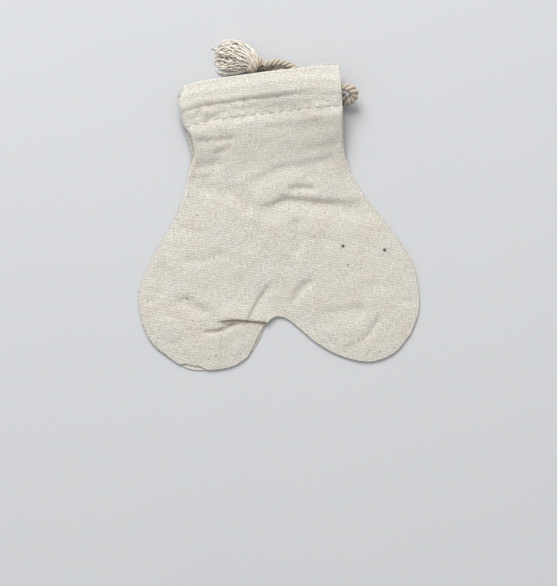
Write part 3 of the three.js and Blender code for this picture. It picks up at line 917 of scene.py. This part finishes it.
def thick_sheet(mesh, name):
    """Gives the sheet its thickness, half to each side, as a closed mesh."""
    made = mesh.piece(name)
    solidify = made.modifiers.new("thickness", "SOLIDIFY")
    solidify.thickness = CLOTH * MM
    solidify.offset = 0
    thickened = made.evaluated_get(bpy.context.evaluated_depsgraph_get())
    with_thickness = bpy.data.meshes.new_from_object(thickened)
    made.modifiers.clear()
    made.data = with_thickness
    made.data.shade_smooth()
    return made


# %% Front panel
upper = np.concatenate([main, front_inside])
lower = np.concatenate([lobe, pleat])
upper_marks = cloth_marks(upper)
lower_marks = cloth_marks(np.concatenate([lower, main[:1, :lip_columns]]))
upper_marks[..., 1] += main_flat[0, :, 1] - upper_marks[0, :, 1]
lower_marks[..., 1] += main_flat[0, :lip_columns, 1] - lower_marks[-1, :, 1]
lower_marks = lower_marks[:-1]


def in_slit(x, y, strength):
    """Painted shade and dirt in the creases, and painted shade in the slit along the lip of the pleat."""
    away, _ = nearest_on(lip, x, y)
    slit = strength * np.exp(-(away / 0.5) ** 2) * smooth(x, -22.5, -18) * (1 - smooth(x, -6, -4))
    return np.maximum(crease_soil_and_shade(x, y), slit)


front_mesh = Mesh()
columns = upper.shape[1]
count = lower.shape[0] * lip_columns
faces = grid_faces(lower.shape[0], lip_columns)
faces += grid_faces(upper.shape[0], columns, count)
last = count - lip_columns
faces += [(last + j, last + j + 1, count + j + 1, count + j) for j in range(lip_columns - 1)]
# The creases are painted brown as shade and dirt, and the slit under the lip as shade.
shade_and_dirt = [in_slit(*rows.reshape(-1, 3).T[:2], strength) for rows, strength in ((lower, 0.9), (upper, 0.3))]
front_mesh.add(np.vstack([lower.reshape(-1, 3), upper.reshape(-1, 3)]), faces,
               np.vstack([lower_marks.reshape(-1, 2), upper_marks.reshape(-1, 2)]), np.concatenate(shade_and_dirt))
front = thick_sheet(front_mesh, "front_cloth")

# %% Back panel
back_u = np.concatenate([EDGE_STEPS, np.linspace(0.014, 0.986, 170), 1 - np.array(EDGE_STEPS[::-1])])
back_v = np.concatenate([EDGE_STEPS, np.linspace(0.015, HEM_START, 120)[:-1],
                         np.linspace(HEM_START, 1, 44)])
back_sides = (bottom, top, left, right)
shortened = setback_share * smooth(back_v, 1 - 24 / BAG_LENGTH, 1 - STITCHES / BAG_LENGTH)
back_flat = np.stack([coons(*back_sides, back_u * (1 - s), [v])[0] for v, s in zip(back_v, shortened)])
back_tree = nearest_tree([left, bottom, right])
back_rows = with_height(back_flat, back_height, back_tree)
back_inside = hem_inside(back_sides, back_rows[-1], back_u, turn_share, 1 - setback_share, 0)
back_rows = np.concatenate([back_rows, back_inside])
back_mesh = Mesh()
back_mesh.add(back_rows.reshape(-1, 3), grid_faces(*back_rows.shape[:2]),
              cloth_marks(back_rows).reshape(-1, 2))
back = thick_sheet(back_mesh, "back_cloth")


# %% The sheets' facts
def cross(p, q):
    return p[:, 0] * q[:, 1] - p[:, 1] * q[:, 0]


def flat_area(mesh):
    """Area of the cloth as cut, from its own coordinates."""
    marks = np.vstack(mesh.marks)
    a, b, c, d = marks[np.array(mesh.faces)].transpose(1, 0, 2)
    return abs(cross(b - a, c - a).sum() + cross(c - a, d - a).sum()) / 2


for panel, mesh, node in ((front, front_mesh, "front_panel"), (back, back_mesh, "back_panel")):
    marks = np.vstack(mesh.marks)
    width, length = np.ptp(marks, axis=0)
    print(panel.name, "cut, mm:", round(width, 1), round(length, 1), "area", round(flat_area(mesh)))
    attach(panel, "root")
    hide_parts(node)
    flat_area(mesh) * MM ** 2

# %% [markdown]
# ## Stitches and loose fibres
# The hem is closed by one row of machine stitches, of the same cotton. Each stitch dives into the cloth
# at both ends, so it is a short bent thread and not a straight rod. Worn cotton sheds fibres: they stand
# off in tufts at the hem's closed end and at the right of the mouth, where the cord rubs. Each is a very
# thin curled tube.

# %% Stitches
THREAD = 0.14        # radius
PROUD = 0.06
DIVE = 0.45
LAST_BACK_STITCH = 24
# Only part of the painted shade is kept in the grooves of the stitch thread.
THREAD_GROOVE_SHADE = 0.35
stitch_bend = np.linspace(-1, 1, 9)
dive = np.abs(stitch_bend) ** 4 * DIVE

stitch_mesh = Mesh()
for side, height, tree in ((1, front_height, seam_tree), (-1, back_height, back_tree)):
    for middle in np.arange(*STITCH_ROW, STITCH):
        if side < 0 and middle > LAST_BACK_STITCH:
            continue
        x = middle + stitch_bend * 0.38 * STITCH
        y = mouth_at(x) + FOLD - STITCHES + 0.12 * math.sin(middle * 1.7)
        z = height(x, y, edge_distance(tree, x, y)) + side * (CLOTH / 2 + PROUD - dive)
        stitch_mesh.tube(np.column_stack([x, y, z]), THREAD, 8, ribs=3, rib_depth=0.2, rib_turns=3.5)
        stitch_mesh.shades_and_soil[-1] *= THREAD_GROOVE_SHADE
stitches = stitch_mesh.piece("hem_stitches")
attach(stitches, "root")

# %% Loose fibres: start and end of each frayed edge, number of fibres, reach
FIBRE = 0.05
FRAYS = [
    ((18.2, 52.5, 5.4), (24.8, 52.5, 6.0), 300, 0.45),
    ((-26.6, 49.5, 3.3), (-28.7, 46.5, 3.2), 220, 0.45),
    ((-28.9, 46.5, 3.0), (-28.6, 38.5, 3.0), 170, 0.38),
    ((28.4, 51.5, 6.0), (28.1, 44.0, 6.4), 40, 0.3),
]
fibre_mesh = Mesh()
for start, end, count, reach in FRAYS:
    for _ in range(count):
        root = np.array(start) + (np.array(end) - start) * chance.uniform(0, 1)
        way = chance.normal(size=3) * [1.3, 0.8, 0.5]
        curl = chance.normal(size=3) * [1.2, 1, 0.5]
        t = np.linspace(0, 1, 12)[:, None]
        kink = 0.35 * np.sin(7 * t + curl[0]) * chance.normal(size=3) * t
        fibre_mesh.tube(root + reach * (way * t + curl * t ** 2 + kink), FIBRE * (1.2 - 0.7 * t[:, 0]), 5)
fibres = fibre_mesh.piece("loose_fibres")
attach(fibres, "root")

# %% [markdown]
# ## Writing shader maths
# A finish is easier to read as a formula than as a web of nodes. One small class wraps a node's output
# and lets Python's own signs add Math nodes. Everything else goes through one method, which makes a node,
# sets it up, and fills its sockets with numbers or with other nodes' outputs.

# %% Nodes as expressions
class Wire:
    """One output of a node."""

    def __init__(self, finish, socket):
        self.finish, self.socket = finish, socket

    def math(self, operation, *values):
        return self.finish.node("Math", {"operation": operation}, dict(enumerate(values)))

    def __add__(self, other):
        return self.math("ADD", self, other)

    def __sub__(self, other):
        return self.math("SUBTRACT", self, other)

    def __rsub__(self, other):
        return self.math("SUBTRACT", other, self)

    def __mul__(self, other):
        return self.math("MULTIPLY", self, other)

    __radd__ = __add__
    __rmul__ = __mul__

    def sine(self):
        return self.math("SINE", self)

    def size(self):
        return self.math("ABSOLUTE", self)

    def most(self, other):
        return self.math("MAXIMUM", self, other)

    def between(self, low, high):
        """0 at low, 1 at high, smooth between."""
        return self.finish.node("MapRange", {"interpolation_type": "SMOOTHSTEP"},
                                {0: self, 1: low, 2: high})


# %% A material while it is being made
class Finish:
    def __init__(self, name):
        self.material = bpy.data.materials.new(name)
        self.material.use_nodes = True
        self.material.node_tree.nodes.clear()

    def node(self, kind, settings, inputs, output=0):
        """Makes a node, sets it up, fills its sockets and gives back one of its outputs."""
        tree = self.material.node_tree
        made = tree.nodes.new("ShaderNode" + kind)
        for setting, value in settings.items():
            setattr(made, setting, value)
        for name, value in inputs.items():
            if isinstance(value, Wire):
                tree.links.new(value.socket, made.inputs[name])
            else:
                made.inputs[name].default_value = value
        return Wire(self, made.outputs[output]) if made.outputs else None

    def blend(self, factor, a, b):
        """Mixes two colours."""
        return self.node("Mix", {"data_type": "RGBA"}, {0: factor, 6: a, 7: b}, 2)

    def cloud(self, place, scale, detail=2.0, roughness=0.5):
        return self.node("TexNoise", {}, {"Vector": place, "Scale": scale, "Detail": detail,
                                          "Roughness": roughness})

    def finished(self, **inputs):
        shader = self.node("BsdfPrincipled", {}, {name.replace("_", " "): v for name, v in inputs.items()})
        self.node("OutputMaterial", {}, {"Surface": shader})
        return self.material


def paint(red, green, blue):
    """A colour as a paint chart gives it, 0 to 255, in the linear values that shaders use."""
    linear = [((c / 255 + 0.055) / 1.055) ** 2.4 for c in (red, green, blue)]
    return (*linear, 1)


# %% [markdown]
# ## Calico
# Calico is plain-woven, unbleached cotton. Warp and weft cross one over, one under, so the surface is a
# chequer of small bumps; the yarns are uneven, so some run thick for a centimetre; and bits of seed husk
# stay in as brown flecks. The weave is worked out from the cloth's own coordinates, so it follows the
# folds, and a noise stretched along each thread makes it thick or thin. The low places between the threads
# are painted darker, as shade. Where the mesh marks painted shade and dirt in a crease, or painted shade in
# the slit of the pleat, the colour goes brown. Cotton has no shine, only a faint bloom at grazing angles.

# %% Colours and flecks of the calico
THREAD_PITCH = 0.54  # mm
CREAM = paint(234, 231, 221)
PALE = paint(246, 244, 238)
WARM = paint(233, 221, 208)
COOL = paint(220, 224, 221)
GAP = paint(178, 171, 155)
SOIL_AND_SHADE = paint(138, 108, 80)
HUSK = paint(92, 66, 44)
FLECKS = [(-20.3, 29.7, 0.22), (-19.2, 19.4, 0.2), (-16.7, 21.8, 0.18), (4.4, 9.0, 0.2), (10.5, 8.5, 0.2),
          (28.1, 2.4, 0.22), (24.2, -11.2, 0.55), (38.7, -13.9, 0.6), (25.3, -18.0, 0.25),
          (-33.2, 3.2, 0.22), (-32.2, -24.8, 0.26), (-21.6, -11.1, 0.2), (-23.8, -45.8, 0.24),
          (-26.5, -46.7, 0.2), (5.6, 43.1, 0.24), (18.9, 0.9, 0.2), (-26.3, 4.0, 0.2), (-28.6, 11.3, 0.2)]
print(len(FLECKS), "flecks have a place of their own")


# %% Calico
def calico():
    cloth = Finish("calico")
    marks = cloth.node("UVMap", {"uv_map": "marks"}, {})
    place = cloth.node("TexCoord", {}, {}, "Object")
    across = cloth.node("SeparateXYZ", {}, {"Vector": marks}, "X")
    upward = cloth.node("SeparateXYZ", {}, {"Vector": marks}, "Y")
    bend = cloth.cloud(marks, 0.22)
    warp = (across + bend * 0.5) * (math.pi / THREAD_PITCH)
    weft = (upward + bend * 0.7) * (math.pi / THREAD_PITCH)
    over = (warp.sine() * weft.sine() * 2.2 + 0.5).between(0, 1)
    warp_slub = cloth.cloud(cloth.node("Mapping", {}, {"Vector": marks, "Scale": (2.1, 0.16, 1)}), 1.0, 1.0)
    weft_slub = cloth.cloud(cloth.node("Mapping", {}, {"Vector": marks, "Scale": (0.14, 2.1, 1)}), 1.0, 1.0)
    thick_warp = warp_slub.between(0.42, 0.7)
    thick_weft = weft_slub.between(0.42, 0.7)
    warp_height = warp.sine().size() * over * (thick_warp * 0.35 + 0.8)
    weft_height = weft.sine().size() * (1 - over) * (thick_weft * 0.35 + 0.8)
    height = warp_height.most(weft_height)
    fuzz = cloth.cloud(marks, 5.5, 3.0, 0.7)

    mottle = cloth.cloud(marks, 0.085, 4.0, 0.6)
    patches = cloth.cloud(marks, 0.6, 2.0, 0.6)
    colour = cloth.blend(mottle.between(0.45, 0.68) * 0.7, CREAM, WARM)
    colour = cloth.blend((1 - mottle).between(0.5, 0.75) * 0.55, colour, COOL)
    colour = cloth.blend(patches.between(0.5, 0.75) * 0.35, colour, PALE)
    colour = cloth.blend((thick_warp + thick_weft) * 0.12, colour, PALE)
    # Painted shade in the low places between the threads.
    colour = cloth.blend((1 - height) * (0.95 - patches * 0.7), colour, GAP)
    grain = cloth.cloud(marks, 1.25, 2.0, 0.75)
    colour = cloth.blend((1 - grain).between(0.42, 0.66) * 0.36, colour, GAP)
    colour = cloth.blend(grain.between(0.48, 0.66) * 0.45, colour, PALE)
    colour = cloth.blend((1 - fuzz).between(0.42, 0.75) * 0.5, colour, GAP)

    # The mesh's painted marks: shade and dirt in the creases, and shade in the slit of the pleat and in the
    # grooves of the stitches.
    shade_and_dirt = cloth.node("Attribute", {"attribute_name": "shade_and_soil"}, {}, "Fac")
    colour = cloth.blend(shade_and_dirt * 0.9, colour, SOIL_AND_SHADE)

    flat = cloth.node("VectorMath", {"operation": "MULTIPLY"}, {0: place, 1: (1, 1, 0)})
    husks = None
    for x, y, radius in FLECKS:
        away = cloth.node("VectorMath", {"operation": "DISTANCE"},
                          {0: flat, 1: (x * MM, y * MM, 0)}, "Value")
        spot = 1 - away.between(radius * 0.5 * MM, radius * 1.5 * MM)
        husks = spot if husks is None else husks.most(spot)
    speck = cloth.node("TexVoronoi", {"feature": "F1"}, {"Vector": marks, "Scale": 0.3}, "Distance")
    small = 1 - speck.between(0.035, 0.075)
    colour = cloth.blend(husks.most(small * 0.8) * 0.95, colour, HUSK)

    bumps = cloth.node("Bump", {}, {"Height": height + fuzz * 0.7, "Distance": 0.0002, "Strength": 0.9})
    return cloth.finished(Base_Color=colour, Roughness=0.95, Normal=bumps, Specular_IOR_Level=0.15,
                          Sheen_Weight=0.12, Sheen_Roughness=0.6)


calico_finish = calico()
print("calico has", len(calico_finish.node_tree.nodes), "nodes")

# %% [markdown]
# ## Twine
# The cord is spun from the same unbleached cotton, but coarser and a little browner, and its fibres run
# along the ply as fine streaks. Each yarn differs slightly in shade. The grooves between the yarns get a
# painted shade, so the material goes brown where the mesh marks it. The cord's colours are painted
# darker as well, for the shade that the ring lies in; the combed yarns of the tassel are paler, and loose
# fibres are almost white, so one recipe makes all three from a darker and a lighter shade each.

# %% Twine
TAN = paint(196, 180, 160)
STREAK = paint(168, 148, 124)
GROOVE_SHADE = paint(98, 80, 60)


def twine(name, darker, lighter):
    cord = Finish(name)
    marks = cord.node("UVMap", {"uv_map": "marks"}, {})
    place = cord.node("TexCoord", {}, {}, "Object")
    streaks = cord.cloud(cord.node("Mapping", {}, {"Vector": marks, "Scale": (16, 1.6, 1)}), 1.0, 3.0, 0.65)
    yarns = cord.cloud(cord.node("Mapping", {}, {"Vector": marks, "Scale": (3.0, 0.35, 1)}), 1.0, 1.0)
    mottle = cord.cloud(place, 420.0, 3.0)
    colour = cord.blend(yarns.between(0.35, 0.7) * 0.8, darker, lighter)
    colour = cord.blend(mottle.between(0.45, 0.7) * 0.4, colour, TAN)
    colour = cord.blend(streaks.between(0.42, 0.68) * 0.3, colour, STREAK)
    # Painted shade in the grooves between the yarns and the plies.
    shade_and_soil = cord.node("Attribute", {"attribute_name": "shade_and_soil"}, {}, "Fac")
    colour = cord.blend(shade_and_soil.between(0.1, 1.0) * 0.92, colour, GROOVE_SHADE)
    bumps = cord.node("Bump", {}, {"Height": streaks, "Distance": 0.00012, "Strength": 0.7})
    return cord.finished(Base_Color=colour, Roughness=0.9, Normal=bumps, Specular_IOR_Level=0.2,
                         Sheen_Weight=0.15, Sheen_Roughness=0.5)


# The cord's own colours are a little browner, and they are painted darker as well for the shade that the
# ring lies in.
twine_finish = twine("twine", paint(190, 179, 162), paint(206, 198, 184))
combed_finish = twine("combed twine", paint(231, 224, 211), paint(243, 239, 229))
lint_finish = twine("lint", paint(236, 238, 240), paint(246, 247, 248))
print("twine has", len(twine_finish.node_tree.nodes), "nodes")
for piece in (front, back, stitches):
    piece.data.materials.clear()
    piece.data.materials.append(calico_finish)
fibres.data.materials.append(lint_finish)
for piece in (*cords.values(), knot):
    piece.data.materials.append(twine_finish)
tassel.data.materials.append(combed_finish)

# %% [markdown]
# ## Table and light
# A pale, slightly cool table sets off the cream cloth. One large soft light stands beyond the mouth of
# the bag, so that the creases, which run across, show a lit and a shaded side. The sky fills the shadows.

# %% Table
TABLE_SIZE = 3


def table_top():
    bpy.ops.mesh.primitive_plane_add(size=TABLE_SIZE, location=(0, 0, 0))
    plane = bpy.context.object
    plane.name = "table"
    finish = Finish("table")
    place = finish.node("TexCoord", {}, {}, "Object")
    grain = finish.cloud(place, 9.0, 4.0)
    colour = finish.blend(grain, paint(193, 195, 198), paint(197, 199, 201))
    plane.data.materials.append(finish.finished(Base_Color=colour, Roughness=0.7))
    return plane


table_top()

# %% Light
def soft_light(name, place, size, power):
    lamp = bpy.data.lights.new(name, "AREA")
    lamp.size = size
    lamp.energy = power
    made = bpy.data.objects.new(name, lamp)
    bpy.context.scene.collection.objects.link(made)
    made.location = place
    made.rotation_euler = (-Vector(place)).to_track_quat("-Z", "Y").to_euler()
    print(name, "gives", power, "W over", size, "m")


soft_light("window", place=(-0.15, 1.0, 0.85), size=0.7, power=19.0)
SKY = 0.57
sky = bpy.data.worlds.new("sky")
sky.use_nodes = True
sky.node_tree.nodes["Background"].inputs["Color"].default_value = (1, 1, 1, 1)
sky.node_tree.nodes["Background"].inputs["Strength"].default_value = SKY
bpy.context.scene.world = sky
bpy.context.scene.view_settings.view_transform = "Standard"
